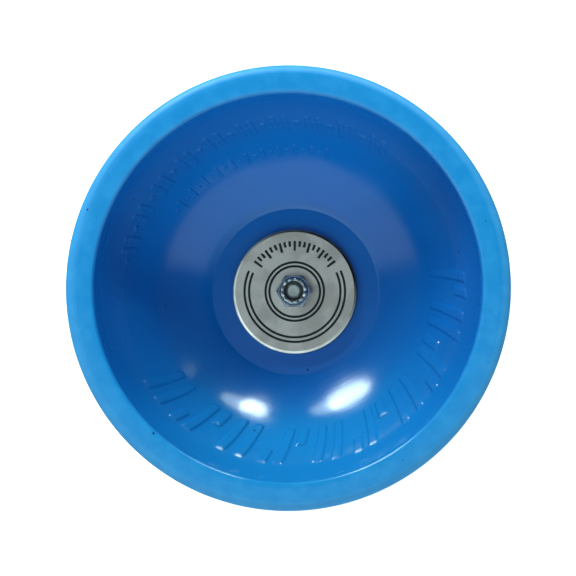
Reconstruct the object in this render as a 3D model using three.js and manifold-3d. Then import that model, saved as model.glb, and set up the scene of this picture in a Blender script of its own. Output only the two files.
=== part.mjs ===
// A ball-bearing diabolo: two plastic cups clamped on a through rod, with a roller that turns freely
// between them. Millimetres, +Z up along the spin axis, standing on the rim of the lower cup.
import * as THREE from 'three';
import { mergeVertices } from 'three/addons/utils/BufferGeometryUtils.js';
import Module from 'manifold-3d';

// Heights named "height" are measured outwards from the mid-plane, so one set serves both sides.

// Cups
const RIM_HEIGHT = 66;
const RIM_RADIUS = 65;
const RIM_ROUNDING = 2;
const LIP_HEIGHT = 5.5;
const LIP_CORNER = 0.8;
const MOUTH_RADIUS = 56.3;
const MOUTH_FILLET = 1;
const BOWL_DEPTH = 40;
const FLOOR_RADIUS = 25.6;
const OUTER_WALL_RADIUS = 61.3;
const HUB_FACE_RADIUS = 25;
const HUB_WALL = 5.5;

// Steel discs at the bottom of the bowls
const DISC_RADIUS = 19;
const DISC_THICKNESS = 3.5;
const DISC_CHAMFER = 0.5;
const DISC_SEAT_DEPTH = 0.8;
const DISC_SEAT_GAP = 0.35;
const DISC_LAND_RADIUS = 6.2;

// Lock nuts on the rod ends, and the nylon rings in their collars
const NUT_ACROSS_FLATS = 9.5;
const NUT_HEX_HEIGHT = 4;
const NUT_HEIGHT = 6;
const NUT_CHAMFER = 0.4;
const COLLAR_RADIUS = 4.2;
const LIP_RADIUS = 3.05;
const INSERT_RADIUS = 3.45;
const INSERT_HEIGHT = 1.2;

// Rod, spacer and shims
const ROD_RADIUS = 2.4;
const ROD_CHAMFER = 0.7;
const ROD_RECESS = 0.1;
const FIT = 0.1;
const SPACER_RADIUS = 3.7;
const SHIM_THICKNESS = 1;

// Roller that the string runs on, and the hub cones beside it
const ROLLER_HALF_LENGTH = 12;
const ROLLER_WAIST_RADIUS = 9.5;
const ROLLER_END_RADIUS = 11.2;
const ROLLER_BORE_RADIUS = 6.7;
const ROLLER_CORNER = 0.4;
const CONE_SMALL_RADIUS = 11.2;
const CONE_LARGE_RADIUS = 20;
const CONE_EDGE = 0.5;
const CONE_HOLLOWING = 1.2;
const SPIGOT_RADIUS = 8;
const SPIGOT_SHORTFALL = 0.2;

// Ball bearings, 5 x 16 x 5
const BEARING_BORE_RADIUS = 2.5;
const BEARING_RADIUS = 8;
const BEARING_WIDTH = 5;
const BALL_COUNT = 7;
const BALL_RADIUS = 1.4;
const PITCH_RADIUS = 5.3;
const RACE_RADIUS = 1.5;
const INNER_SHOULDER_RADIUS = 4.4;
const OUTER_SHOULDER_RADIUS = 6.3;
const CAGE_INNER_RADIUS = 4.75;
const CAGE_OUTER_RADIUS = 5.85;
const CAGE_WIDTH = 3.8;
const POCKET_RADIUS = 1.6;
const SHIELD_INNER_RADIUS = 4.6;
const SHIELD_OUTER_RADIUS = 6.65;
const SHIELD_SEAT_RADIUS = 6.75;
const SHIELD_THICKNESS = 0.25;
const SHIELD_INSET = 0.45;

// Heights that follow from the sizes above
const FLOOR_HEIGHT = RIM_HEIGHT - BOWL_DEPTH;
const HUB_FACE_HEIGHT = FLOOR_HEIGHT - HUB_WALL;
const DISC_SEAT_HEIGHT = FLOOR_HEIGHT - DISC_SEAT_DEPTH;
const DISC_FACE_HEIGHT = DISC_SEAT_HEIGHT + DISC_THICKNESS;
const ROD_END_HEIGHT = DISC_FACE_HEIGHT + NUT_HEIGHT - ROD_RECESS;
const CONE_FACE_HEIGHT = ROLLER_HALF_LENGTH + 0.5;
const BEARING_END_HEIGHT = CONE_FACE_HEIGHT - SHIM_THICKNESS;
const BEARING_START_HEIGHT = BEARING_END_HEIGHT - BEARING_WIDTH;
const BEARING_HEIGHT = BEARING_END_HEIGHT - BEARING_WIDTH / 2;

// How finely round pieces are faceted
const CUP_SIDES = 48;
const HUB_SIDES = 32;
const SMALL_SIDES = 24;
const WALL_STEPS = 7;
const FLARE_STEPS = 4;

const wasm = await Module();
wasm.setup();

// ---- Helpers ----

// Points of an ellipse arc between two angles in degrees, counted from the outward radius.
function arc(radius, height, semiRadius, semiHeight, fromAngle, toAngle, steps) {
  const points = [];
  for (let step = 0; step <= steps; step += 1) {
    const angle = THREE.MathUtils.degToRad(fromAngle + ((toAngle - fromAngle) * step) / steps);
    points.push([radius + semiRadius * Math.cos(angle), height + semiHeight * Math.sin(angle)]);
  }
  return points;
}

// Only positions are kept, with shared corners merged, so that the mesh is closed.
function closedGeometry(geometry) {
  geometry.deleteAttribute('normal');
  geometry.deleteAttribute('uv');
  return mergeVertices(geometry);
}

// Revolves a profile of [radius, height] points, given anticlockwise, about the Z axis.
function revolve(profile, sides) {
  const outline = profile.map(([radius, height]) => new THREE.Vector2(radius, height));
  if (profile[0][0] > 0) {
    outline.push(outline[0].clone());
  }
  const geometry = new THREE.LatheGeometry(outline, sides);
  geometry.rotateX(Math.PI / 2);
  return closedGeometry(geometry);
}

function tube(innerRadius, outerRadius, fromHeight, toHeight, sides) {
  return revolve([
    [innerRadius, fromHeight],
    [outerRadius, fromHeight],
    [outerRadius, toHeight],
    [innerRadius, toHeight],
  ], sides);
}

function toSolid(geometry) {
  return new wasm.Manifold(new wasm.Mesh({
    numProp: 3,
    vertProperties: new Float32Array(geometry.attributes.position.array),
    triVerts: new Uint32Array(geometry.index.array),
  }));
}

function toGeometry(solid) {
  const { vertProperties, triVerts } = solid.getMesh();
  const geometry = new THREE.BufferGeometry();
  geometry.setAttribute('position', new THREE.BufferAttribute(vertProperties, 3));
  geometry.setIndex(new THREE.BufferAttribute(triVerts, 1));
  return geometry;
}

function finish(color, roughness, metalness) {
  return new THREE.MeshStandardMaterial({ color, roughness, metalness });
}

function piece(name, geometry, material) {
  geometry.computeVertexNormals();
  const mesh = new THREE.Mesh(geometry, material);
  mesh.name = name;
  return mesh;
}

const bluePlastic = finish(0x1f8ad8, 0.3, 0);
const satinSteel = finish(0xa5a096, 0.45, 1);
const zincPlate = finish(0xc3cbd2, 0.3, 1);
const nylon = finish(0x20242a, 0.5, 0);
const aluminium = finish(0xc9ccd0, 0.35, 1);
const bearingSteel = finish(0xb4b8bc, 0.2, 1);
const rodSteel = finish(0x8d9196, 0.4, 1);

// ---- Cups ----

// A bowl with a flat bottom, a thick rolled rim and an undercut behind it. The wall is an
// ellipse inside and out, and the bore takes the hub cone's spigot.
function cupGeometry() {
  const mouthHeight = RIM_HEIGHT - MOUTH_FILLET;
  const floorAngle = -THREE.MathUtils.radToDeg(Math.acos(FLOOR_RADIUS / MOUTH_RADIUS));
  const bowlHeight = (mouthHeight - FLOOR_HEIGHT) / -Math.sin(THREE.MathUtils.degToRad(floorAngle));
  const hubAngle = -THREE.MathUtils.radToDeg(Math.acos(HUB_FACE_RADIUS / OUTER_WALL_RADIUS));
  const wallHeight = (mouthHeight - HUB_FACE_HEIGHT) / -Math.sin(THREE.MathUtils.degToRad(hubAngle));
  const lipHeight = RIM_HEIGHT - LIP_HEIGHT;
  const lipAngle = -THREE.MathUtils.radToDeg(Math.asin((mouthHeight - lipHeight) / wallHeight));
  const seatRadius = DISC_RADIUS + DISC_SEAT_GAP;
  const roundingRadius = RIM_RADIUS - RIM_ROUNDING;
  return revolve([
    [SPIGOT_RADIUS + FIT, HUB_FACE_HEIGHT],
    ...arc(0, mouthHeight, OUTER_WALL_RADIUS, wallHeight, hubAngle, lipAngle, WALL_STEPS),
    ...arc(RIM_RADIUS - LIP_CORNER, lipHeight + LIP_CORNER, LIP_CORNER, LIP_CORNER, -90, 0, 2),
    ...arc(roundingRadius, RIM_HEIGHT - RIM_ROUNDING, RIM_ROUNDING, RIM_ROUNDING, 0, 90, 3),
    ...arc(MOUTH_RADIUS + MOUTH_FILLET, mouthHeight, MOUTH_FILLET, MOUTH_FILLET, 90, 180, 2),
    ...arc(0, mouthHeight, MOUTH_RADIUS, bowlHeight, 0, floorAngle, WALL_STEPS).slice(1),
    [seatRadius, FLOOR_HEIGHT],
    [seatRadius, DISC_SEAT_HEIGHT],
    [SPIGOT_RADIUS + FIT, DISC_SEAT_HEIGHT],
  ], CUP_SIDES);
}

// ---- Clamping stack on the rod ----

// The land round the bore is what the nut bears on, and the face outside it is free.
function discGeometry() {
  return revolve([
    [ROD_RADIUS + 2 * FIT, DISC_SEAT_HEIGHT],
    [DISC_RADIUS, DISC_SEAT_HEIGHT],
    [DISC_RADIUS, DISC_FACE_HEIGHT - DISC_CHAMFER],
    [DISC_RADIUS - DISC_CHAMFER, DISC_FACE_HEIGHT],
    [DISC_LAND_RADIUS, DISC_FACE_HEIGHT],
    [ROD_RADIUS + 2 * FIT, DISC_FACE_HEIGHT],
  ], HUB_SIDES);
}

// A chamfered hexagon with a round collar crimped over the nylon ring.
function nutGeometry() {
  const cornerRadius = NUT_ACROSS_FLATS / 2 / Math.cos(Math.PI / 6);
  const hexagon = new THREE.CylinderGeometry(cornerRadius, cornerRadius, NUT_HEIGHT, 6);
  hexagon.rotateX(Math.PI / 2);
  hexagon.rotateZ(Math.PI / 2);
  hexagon.translate(0, 0, NUT_HEIGHT / 2);
  const clearRadius = cornerRadius + NUT_CHAMFER;
  const insertTop = NUT_HEX_HEIGHT + INSERT_HEIGHT + 2 * FIT;
  const envelope = revolve([
    [0, -1],
    [cornerRadius - 2 * NUT_CHAMFER, -1],
    [cornerRadius - 2 * NUT_CHAMFER, 0],
    [clearRadius, NUT_CHAMFER],
    [clearRadius, NUT_HEX_HEIGHT - NUT_CHAMFER],
    [cornerRadius - 2 * NUT_CHAMFER, NUT_HEX_HEIGHT],
    [COLLAR_RADIUS, NUT_HEX_HEIGHT],
    [COLLAR_RADIUS, NUT_HEIGHT - 2 * NUT_CHAMFER],
    [COLLAR_RADIUS - NUT_CHAMFER, NUT_HEIGHT],
    [0, NUT_HEIGHT],
  ], SMALL_SIDES);
  const bore = revolve([
    [0, -1],
    [ROD_RADIUS + FIT, -1],
    [ROD_RADIUS + FIT, NUT_HEX_HEIGHT],
    [INSERT_RADIUS + FIT, NUT_HEX_HEIGHT],
    [INSERT_RADIUS + FIT, insertTop],
    [LIP_RADIUS, insertTop],
    [LIP_RADIUS, NUT_HEIGHT + 1],
    [0, NUT_HEIGHT + 1],
  ], SMALL_SIDES);
  const nut = toSolid(closedGeometry(hexagon)).intersect(toSolid(envelope)).subtract(toSolid(bore));
  return toGeometry(nut).translate(0, 0, DISC_FACE_HEIGHT);
}

function insertGeometry() {
  const base = DISC_FACE_HEIGHT + NUT_HEX_HEIGHT + FIT;
  return tube(ROD_RADIUS + FIT / 2, INSERT_RADIUS, base, base + INSERT_HEIGHT, SMALL_SIDES);
}

// A flared hub, slightly hollow in outline, with a spigot that centres the cup.
function coneGeometry() {
  const flare = [];
  const flareHeight = HUB_FACE_HEIGHT - CONE_EDGE - CONE_FACE_HEIGHT;
  for (let step = 0; step <= FLARE_STEPS; step += 1) {
    const along = step / FLARE_STEPS;
    const radius = THREE.MathUtils.lerp(CONE_SMALL_RADIUS, CONE_LARGE_RADIUS, along);
    const hollow = CONE_HOLLOWING * Math.sin(Math.PI * along);
    flare.push([radius - hollow, CONE_FACE_HEIGHT + flareHeight * along]);
  }
  return revolve([
    [BEARING_BORE_RADIUS, CONE_FACE_HEIGHT],
    ...flare,
    [CONE_LARGE_RADIUS, HUB_FACE_HEIGHT],
    [SPIGOT_RADIUS, HUB_FACE_HEIGHT],
    [SPIGOT_RADIUS, DISC_SEAT_HEIGHT - SPIGOT_SHORTFALL],
    [BEARING_BORE_RADIUS, DISC_SEAT_HEIGHT - SPIGOT_SHORTFALL],
  ], HUB_SIDES);
}

function rodGeometry() {
  return revolve([
    [0, -ROD_END_HEIGHT],
    [ROD_RADIUS - ROD_CHAMFER, -ROD_END_HEIGHT],
    [ROD_RADIUS, ROD_CHAMFER - ROD_END_HEIGHT],
    [ROD_RADIUS, ROD_END_HEIGHT - ROD_CHAMFER],
    [ROD_RADIUS - ROD_CHAMFER, ROD_END_HEIGHT],
    [0, ROD_END_HEIGHT],
  ], SMALL_SIDES);
}

// ---- Roller ----

// A waisted sleeve whose two counterbores hold the bearings against inner shoulders.
function rollerGeometry() {
  const waist = ROLLER_END_RADIUS - ROLLER_WAIST_RADIUS;
  const shoulder = ROLLER_HALF_LENGTH - ROLLER_CORNER;
  const grooveRadius = (shoulder * shoulder + waist * waist) / (2 * waist);
  const grooveAngle = THREE.MathUtils.radToDeg(Math.asin(shoulder / grooveRadius));
  const seatRadius = BEARING_RADIUS + FIT / 2;
  return revolve([
    [seatRadius, -ROLLER_HALF_LENGTH],
    [ROLLER_END_RADIUS - ROLLER_CORNER, -ROLLER_HALF_LENGTH],
    ...arc(ROLLER_WAIST_RADIUS + grooveRadius, 0, grooveRadius, grooveRadius,
      180 + grooveAngle, 180 - grooveAngle, WALL_STEPS),
    [ROLLER_END_RADIUS - ROLLER_CORNER, ROLLER_HALF_LENGTH],
    [seatRadius, ROLLER_HALF_LENGTH],
    [seatRadius, BEARING_START_HEIGHT],
    [ROLLER_BORE_RADIUS, BEARING_START_HEIGHT],
    [ROLLER_BORE_RADIUS, -BEARING_START_HEIGHT],
    [seatRadius, -BEARING_START_HEIGHT],
  ], HUB_SIDES);
}

// ---- Bearings ----

// Angle, in degrees, at which a race of RACE_RADIUS about the pitch circle meets a shoulder.
function raceAngle(shoulderRadius) {
  const offset = Math.abs(PITCH_RADIUS - shoulderRadius);
  return THREE.MathUtils.radToDeg(Math.acos(offset / RACE_RADIUS));
}

function innerRingGeometry() {
  const angle = raceAngle(INNER_SHOULDER_RADIUS);
  return revolve([
    [BEARING_BORE_RADIUS, BEARING_START_HEIGHT],
    [INNER_SHOULDER_RADIUS, BEARING_START_HEIGHT],
    ...arc(PITCH_RADIUS, BEARING_HEIGHT, RACE_RADIUS, RACE_RADIUS, 180 + angle, 180 - angle, 5),
    [INNER_SHOULDER_RADIUS, BEARING_END_HEIGHT],
    [BEARING_BORE_RADIUS, BEARING_END_HEIGHT],
  ], SMALL_SIDES);
}

function outerRingGeometry() {
  const angle = raceAngle(OUTER_SHOULDER_RADIUS);
  return revolve([
    [BEARING_RADIUS, BEARING_START_HEIGHT],
    [BEARING_RADIUS, BEARING_END_HEIGHT],
    [SHIELD_SEAT_RADIUS, BEARING_END_HEIGHT],
    [SHIELD_SEAT_RADIUS, BEARING_END_HEIGHT - SHIELD_INSET],
    [OUTER_SHOULDER_RADIUS, BEARING_END_HEIGHT - SHIELD_INSET],
    ...arc(PITCH_RADIUS, BEARING_HEIGHT, RACE_RADIUS, RACE_RADIUS, angle, -angle, 5),
    [OUTER_SHOULDER_RADIUS, BEARING_START_HEIGHT + SHIELD_INSET],
    [SHIELD_SEAT_RADIUS, BEARING_START_HEIGHT + SHIELD_INSET],
    [SHIELD_SEAT_RADIUS, BEARING_START_HEIGHT],
  ], HUB_SIDES);
}

// A ring with one round pocket for each ball, drilled along the radius.
function cageGeometry() {
  const low = BEARING_HEIGHT - CAGE_WIDTH / 2;
  const ring = tube(CAGE_INNER_RADIUS, CAGE_OUTER_RADIUS, low, low + CAGE_WIDTH, 4 * BALL_COUNT);
  let cage = toSolid(ring);
  for (let index = 0; index < BALL_COUNT; index += 1) {
    const pocket = new THREE.CylinderGeometry(POCKET_RADIUS, POCKET_RADIUS, 2, 10);
    pocket.rotateZ(Math.PI / 2);
    pocket.translate(PITCH_RADIUS, 0, BEARING_HEIGHT);
    pocket.rotateZ(ballAngle(index));
    cage = cage.subtract(toSolid(closedGeometry(pocket)));
  }
  return toGeometry(cage);
}

function ballAngle(index) {
  return (2 * Math.PI * index) / BALL_COUNT;
}

function addBearing(side, suffix) {
  const shieldHeights = {
    inboard: BEARING_START_HEIGHT + SHIELD_INSET - SHIELD_THICKNESS,
    outboard: BEARING_END_HEIGHT - SHIELD_INSET,
  };
  side.add(piece(`bearing_inner_ring_${suffix}`, innerRingGeometry(), bearingSteel));
  side.add(piece(`bearing_outer_ring_${suffix}`, outerRingGeometry(), bearingSteel));
  side.add(piece(`bearing_cage_${suffix}`, cageGeometry(), bearingSteel));
  for (let index = 0; index < BALL_COUNT; index += 1) {
    const ball = closedGeometry(new THREE.IcosahedronGeometry(BALL_RADIUS, 1));
    const mesh = piece(`bearing_ball_${suffix}_${index + 1}`, ball, bearingSteel);
    mesh.position.set(
      PITCH_RADIUS * Math.cos(ballAngle(index)),
      PITCH_RADIUS * Math.sin(ballAngle(index)),
      BEARING_HEIGHT,
    );
    side.add(mesh);
  }
  for (const [end, height] of Object.entries(shieldHeights)) {
    const top = height + SHIELD_THICKNESS;
    const shield = tube(SHIELD_INNER_RADIUS, SHIELD_OUTER_RADIUS, height, top, HUB_SIDES);
    side.add(piece(`bearing_shield_${suffix}_${end}`, shield, bearingSteel));
  }
}

// ---- Assembly ----

// Everything that sits on one side of the mid-plane, standing outwards along +Z.
function buildSide(suffix) {
  const side = new THREE.Group();
  side.add(piece(`cup_${suffix}`, cupGeometry(), bluePlastic));
  side.add(piece(`weight_disc_${suffix}`, discGeometry(), satinSteel));
  side.add(piece(`lock_nut_${suffix}`, nutGeometry(), zincPlate));
  side.add(piece(`nylon_insert_${suffix}`, insertGeometry(), nylon));
  side.add(piece(`hub_cone_${suffix}`, coneGeometry(), aluminium));
  const shim = tube(BEARING_BORE_RADIUS, SPACER_RADIUS, BEARING_END_HEIGHT, CONE_FACE_HEIGHT, SMALL_SIDES);
  side.add(piece(`shim_${suffix}`, shim, zincPlate));
  addBearing(side, suffix);
  return side;
}

const diabolo = new THREE.Group();
diabolo.position.z = RIM_HEIGHT;
diabolo.add(buildSide('upper'));
const lowerSide = buildSide('lower');
lowerSide.rotation.x = Math.PI;
diabolo.add(lowerSide);
diabolo.add(piece('axle_rod', rodGeometry(), rodSteel));
diabolo.add(piece('roller', rollerGeometry(), aluminium));
const spacerEnd = BEARING_START_HEIGHT;
const spacer = tube(BEARING_BORE_RADIUS, SPACER_RADIUS, -spacerEnd, spacerEnd, SMALL_SIDES);
diabolo.add(piece('spacer_tube', spacer, zincPlate));

const group = new THREE.Group();
group.add(diabolo);

export default group;
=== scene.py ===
import math

import bmesh
import bpy
import numpy as np
from mathutils import Matrix, Vector


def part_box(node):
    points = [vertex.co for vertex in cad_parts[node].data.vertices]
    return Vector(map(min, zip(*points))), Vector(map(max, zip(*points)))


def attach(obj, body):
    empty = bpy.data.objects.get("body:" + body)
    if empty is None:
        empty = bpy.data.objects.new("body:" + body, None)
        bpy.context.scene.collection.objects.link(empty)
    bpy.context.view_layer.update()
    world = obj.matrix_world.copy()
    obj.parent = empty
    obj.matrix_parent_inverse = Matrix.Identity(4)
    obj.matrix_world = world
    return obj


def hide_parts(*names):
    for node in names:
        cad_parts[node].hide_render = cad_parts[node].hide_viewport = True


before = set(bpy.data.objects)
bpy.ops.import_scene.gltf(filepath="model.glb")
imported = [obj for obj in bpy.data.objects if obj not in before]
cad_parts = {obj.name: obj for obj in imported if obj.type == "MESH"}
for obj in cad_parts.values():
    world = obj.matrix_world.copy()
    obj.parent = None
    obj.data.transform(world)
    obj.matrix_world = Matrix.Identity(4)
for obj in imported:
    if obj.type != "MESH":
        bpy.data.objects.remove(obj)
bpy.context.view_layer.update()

# A ball-bearing diabolo seen almost straight into its upper cup. Heights called "height" are
# measured outwards from the mid-plane, so one set of outlines serves the upper and lower side.
SIDES = {"upper": 1, "lower": -1}
ROOT = "cups_and_rod"
MM = 0.001


def half_width(node):
    low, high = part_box(node)
    return (high.x - low.x) / 2


def span(node):
    """Heights of the near and the far end of a node on the upper side."""
    low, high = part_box(node)
    return low.z - MID, high.z - MID


MID = (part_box("roller")[0].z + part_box("roller")[1].z) / 2
HUB_HEIGHT, RIM_HEIGHT = span("cup_upper")
RIM_RADIUS = half_width("cup_upper")
DISC_SEAT, DISC_FACE = span("weight_disc_upper")
DISC_RADIUS = half_width("weight_disc_upper")
NUT_TOP = span("lock_nut_upper")[1]
CONE_FACE = span("hub_cone_upper")[0]

# Sizes of the cup and the disc that no node's box gives
MOUTH_RADIUS = 56.5 * MM
MOUTH_FILLET = 1.1 * MM
FLOOR_HEIGHT = DISC_SEAT + 0.8 * MM
FLOOR_RADIUS = 25.6 * MM
SEAT_RADIUS = DISC_RADIUS + 0.06 * MM
DISC_BEVEL = 0.75 * MM
BORE_RADIUS = 8.1 * MM
OUTER_WALL_RADIUS = 61.3 * MM
HUB_FACE_RADIUS = 25.0 * MM
LIP_HEIGHT = 5.5 * MM
LIP_CORNER = 0.8 * MM
RIM_ROUNDING = 2.0 * MM
MOUTH_HEIGHT = RIM_HEIGHT - MOUTH_FILLET
EDGE_WIDTH = 2.9 * MM
FLOOR_ANGLE = -math.degrees(math.acos(FLOOR_RADIUS / MOUTH_RADIUS))
BOWL_HEIGHT = (MOUTH_HEIGHT - FLOOR_HEIGHT) / math.sin(math.radians(-FLOOR_ANGLE))


# ---- Outlines ----

def arc(radius, height, semi_radius, semi_height, start, end, steps):
    """Points of an ellipse arc between two angles in degrees, counted from the outward radius."""
    angles = np.radians(np.linspace(start, end, steps + 1))
    return [(radius + semi_radius * math.cos(a), height + semi_height * math.sin(a)) for a in angles]


def rounded(corners, steps=4):
    """A closed outline from (radius, height, rounding) corners."""
    outline = []
    for index, (radius, height, rounding) in enumerate(corners):
        here = Vector((radius, height))
        back = Vector(corners[index - 1][:2]) - here
        ahead = Vector(corners[(index + 1) % len(corners)][:2]) - here
        if rounding == 0:
            outline.append((radius, height))
            continue
        half = back.angle(ahead) / 2
        start = here + back.normalized() * rounding / math.tan(half)
        end = here + ahead.normalized() * rounding / math.tan(half)
        centre = here + (back.normalized() + ahead.normalized()).normalized() * rounding / math.sin(half)
        for step in range(steps + 1):
            spoke = (start - centre).lerp(end - centre, step / steps).normalized() * rounding
            outline.append(tuple(centre + spoke))
    return outline


def plain(points):
    return [(radius, height, 0) for radius, height in points]


# ---- Meshes ----

def add_mesh(name, vertices, faces, sharp=35):
    mesh = bpy.data.meshes.new(name)
    mesh.from_pydata(vertices, [], faces)
    mesh.shade_smooth()
    mesh.set_sharp_from_angle(angle=math.radians(sharp))
    mesh.validate()
    piece = bpy.data.objects.new(name, mesh)
    bpy.context.scene.collection.objects.link(piece)
    weighted = piece.modifiers.new("flat faces stay flat", "WEIGHTED_NORMAL")
    weighted.keep_sharp = True
    return piece


def turned(outline, sides, side, shape):
    """Vertices and faces of an outline turned about the spin axis. The outline runs anticlockwise
    and is closed, unless it starts and ends on the axis. A shape function may move its points."""
    angles = (np.arange(sides) * math.tau / sides)[:, None] + np.zeros((1, len(outline)))
    radius = np.array([point[0] for point in outline])[None, :] + 0 * angles
    height = np.array([point[1] for point in outline])[None, :] + 0 * angles
    if shape:
        radius, height = shape(angles, radius, height)
    vertices = np.stack([
        radius * np.cos(angles),
        side * radius * np.sin(angles),
        MID + side * height,
    ], -1).reshape(-1, 3)
    count = len(outline)
    on_axis = outline[0][0] == 0
    faces = []
    for row in range(count - 1 if on_axis else count):
        ahead = (row + 1) % count
        for i in range(sides):
            j = (i + 1) % sides
            corners = [i * count + row, j * count + row, j * count + ahead, i * count + ahead]
            if on_axis and row == 0:
                corners = [0, j * count + ahead, i * count + ahead]
            if on_axis and ahead == count - 1:
                corners = [i * count + row, j * count + row, ahead]
            faces.append(corners)
    return vertices, faces


def spin(name, outline, sides, side=1, shape=None, sharp=35):
    vertices, faces = turned(outline, sides, side, shape)
    piece = add_mesh(name, vertices.tolist(), faces, sharp)
    if outline[0][0] == 0:
        drop_loose(piece)
    return piece


def joined(parts):
    """The vertices and faces of several parts as those of one."""
    vertices, faces, start = [], [], 0
    for points, part_faces in parts:
        vertices.append(points)
        faces += [[corner + start for corner in face] for face in part_faces]
        start += len(points)
    return np.concatenate(vertices).tolist(), faces


def drop_loose(piece):
    mesh = bmesh.new()
    mesh.from_mesh(piece.data)
    bmesh.ops.delete(mesh, geom=[v for v in mesh.verts if not v.link_faces], context="VERTS")
    mesh.to_mesh(piece.data)
    mesh.free()


def settle(piece, material, slot, body, *nodes):
    """Gives a finished piece its material and body, and hides the CAD nodes it stands for. Its slot is not
    used.
    """
    if not piece.data.materials:
        piece.data.materials.append(material)
    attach(piece, body)
    if nodes:
        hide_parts(*nodes)


# ---- Materials ----

class Nodes:
    """The node helpers that the materials and the world share. Values are numbers, colours or
    the output sockets of other nodes."""

    def __init__(self, tree, coordinates):
        self.tree = tree
        self.position = self.node("ShaderNodeTexCoord").outputs[coordinates]

    def node(self, kind, **settings):
        node = self.tree.nodes.new(kind)
        for key, value in settings.items():
            setattr(node, key, value)
        return node

    def feed(self, socket, value):
        if isinstance(value, bpy.types.NodeSocket):
            self.tree.links.new(value, socket)
        else:
            socket.default_value = value

    def math(self, operation, first, second=0.0, clamp=False):
        node = self.node("ShaderNodeMath", operation=operation, use_clamp=clamp)
        self.feed(node.inputs[0], first)
        self.feed(node.inputs[1], second)
        return node.outputs[0]

    def ease(self, value, low, high):
        """0 below low, 1 above high, and a smooth step between."""
        node = self.node("ShaderNodeMapRange", interpolation_type="SMOOTHSTEP")
        self.feed(node.inputs["Value"], value)
        node.inputs["From Min"].default_value = low
        node.inputs["From Max"].default_value = high
        return node.outputs["Result"]

    def scaled(self, value, low, high):
        """Maps 0 to 1 onto low to high."""
        node = self.node("ShaderNodeMapRange")
        self.feed(node.inputs["Value"], value)
        node.inputs["To Min"].default_value = low
        node.inputs["To Max"].default_value = high
        node.clamp = False
        return node.outputs["Result"]

    def noise(self, scale, detail, stretch=(1, 1, 1), offset=0.0):
        mapping = self.node("ShaderNodeMapping")
        mapping.inputs["Scale"].default_value = stretch
        mapping.inputs["Location"].default_value = (offset, offset, offset)
        self.feed(mapping.inputs["Vector"], self.position)
        node = self.node("ShaderNodeTexNoise")
        node.inputs["Scale"].default_value = scale
        node.inputs["Detail"].default_value = detail
        self.feed(node.inputs["Vector"], mapping.outputs[0])
        return node.outputs["Fac"]

    def specks(self, scale, size, rarity):
        """1 inside small dots, at most one to each cell of 1/scale metres."""
        cells = self.node("ShaderNodeTexVoronoi")
        self.feed(cells.inputs["Vector"], self.position)
        cells.inputs["Scale"].default_value = scale
        picked = self.math("GREATER_THAN", cells.outputs["Color"], rarity)
        dot = self.ease(cells.outputs["Distance"], 1.3 * size * scale, 0.7 * size * scale)
        return self.math("MULTIPLY", dot, picked)

    def mix(self, factor, first, second):
        """Blends two colours. The node has sockets of the same names for each kind of value, and
        6, 7 and 2 are the numbers of the colour ones."""
        node = self.node("ShaderNodeMix", data_type="RGBA")
        self.feed(node.inputs["Factor"], factor)
        self.feed(node.inputs[6], first)
        self.feed(node.inputs[7], second)
        return node.outputs[2]

    def between(self, factor, first, second):
        """Blends two numbers."""
        node = self.node("ShaderNodeMix")
        self.feed(node.inputs["Factor"], factor)
        self.feed(node.inputs["A"], first)
        self.feed(node.inputs["B"], second)
        return node.outputs["Result"]

    def axes(self):
        split = self.node("ShaderNodeSeparateXYZ")
        self.feed(split.inputs[0], self.position)
        return split.outputs

    def hypotenuse(self, first, second):
        squares = [self.math("MULTIPLY", leg, leg) for leg in (first, second)]
        return self.math("SQRT", self.math("ADD", *squares))

    def polar(self):
        """Distance from the spin axis, and height from the mid-plane, both in metres."""
        x, y, z = self.axes()
        height = self.math("ABSOLUTE", self.math("SUBTRACT", z, MID))
        return self.hypotenuse(x, y), height

    def rings(self, scale, detail):
        """Noise that is constant round the spin axis, like the marks of a lathe."""
        radius, height = self.polar()
        along = self.node("ShaderNodeCombineXYZ")
        self.feed(along.inputs[0], radius)
        self.feed(along.inputs[1], height)
        node = self.node("ShaderNodeTexNoise", noise_dimensions="2D")
        node.inputs["Scale"].default_value = scale
        node.inputs["Detail"].default_value = detail
        self.feed(node.inputs["Vector"], along.outputs[0])
        return node.outputs["Fac"]

    def bump(self, value, depth, strength, under=None):
        node = self.node("ShaderNodeBump")
        node.inputs["Strength"].default_value = strength
        node.inputs["Distance"].default_value = depth
        self.feed(node.inputs["Height"], value)
        if under:
            self.feed(node.inputs["Normal"], under)
        return node.outputs["Normal"]


class Shader(Nodes):
    """A Principled material, made with fixed values for the sockets that are the same all over."""

    def __init__(self, name, **sockets):
        self.material = bpy.data.materials.new(name)
        self.material.use_nodes = True
        super().__init__(self.material.node_tree, "Object")
        self.principled = self.tree.nodes["Principled BSDF"]
        for socket, value in sockets.items():
            self.principled.inputs[socket.replace("_", " ")].default_value = value

    def set(self, socket, value):
        self.feed(self.principled.inputs[socket], value)


# The rim's paler blue against the bowl's deeper blues is painted light and shade.
RIM_BLUE = (0.013, 0.270, 0.630, 1)
# Lighter blue of the rim's haze and outer edge: wear, and painted sheen on the edge.
WORN_AND_SHEEN_BLUE = (0.050, 0.390, 0.780, 1)
BOWL_BLUE = (0.004, 0.128, 0.460, 1)
PALE_BOWL_BLUE = (0.008, 0.192, 0.470, 1)
FAR_BOWL_BLUE = (0.005, 0.182, 0.590, 1)
FLOOR_BLUE = (0.003, 0.145, 0.500, 1)
CLOUD_BLUE = (0.010, 0.240, 0.640, 1)
FLOW_BLUE = (0.030, 0.340, 0.800, 1)
SPECK_BLUE = (0.003, 0.020, 0.070, 1)

# Painted light in the bowl: how much each direction counts towards the paler blue, and how far the far side
# leans
PALER_ACROSS = 0.10
PALER_DOWN = 0.35
PALER_UP_AND_DOWN = 0.75
FAR_SIDE_LEAN = 0.30


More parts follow.
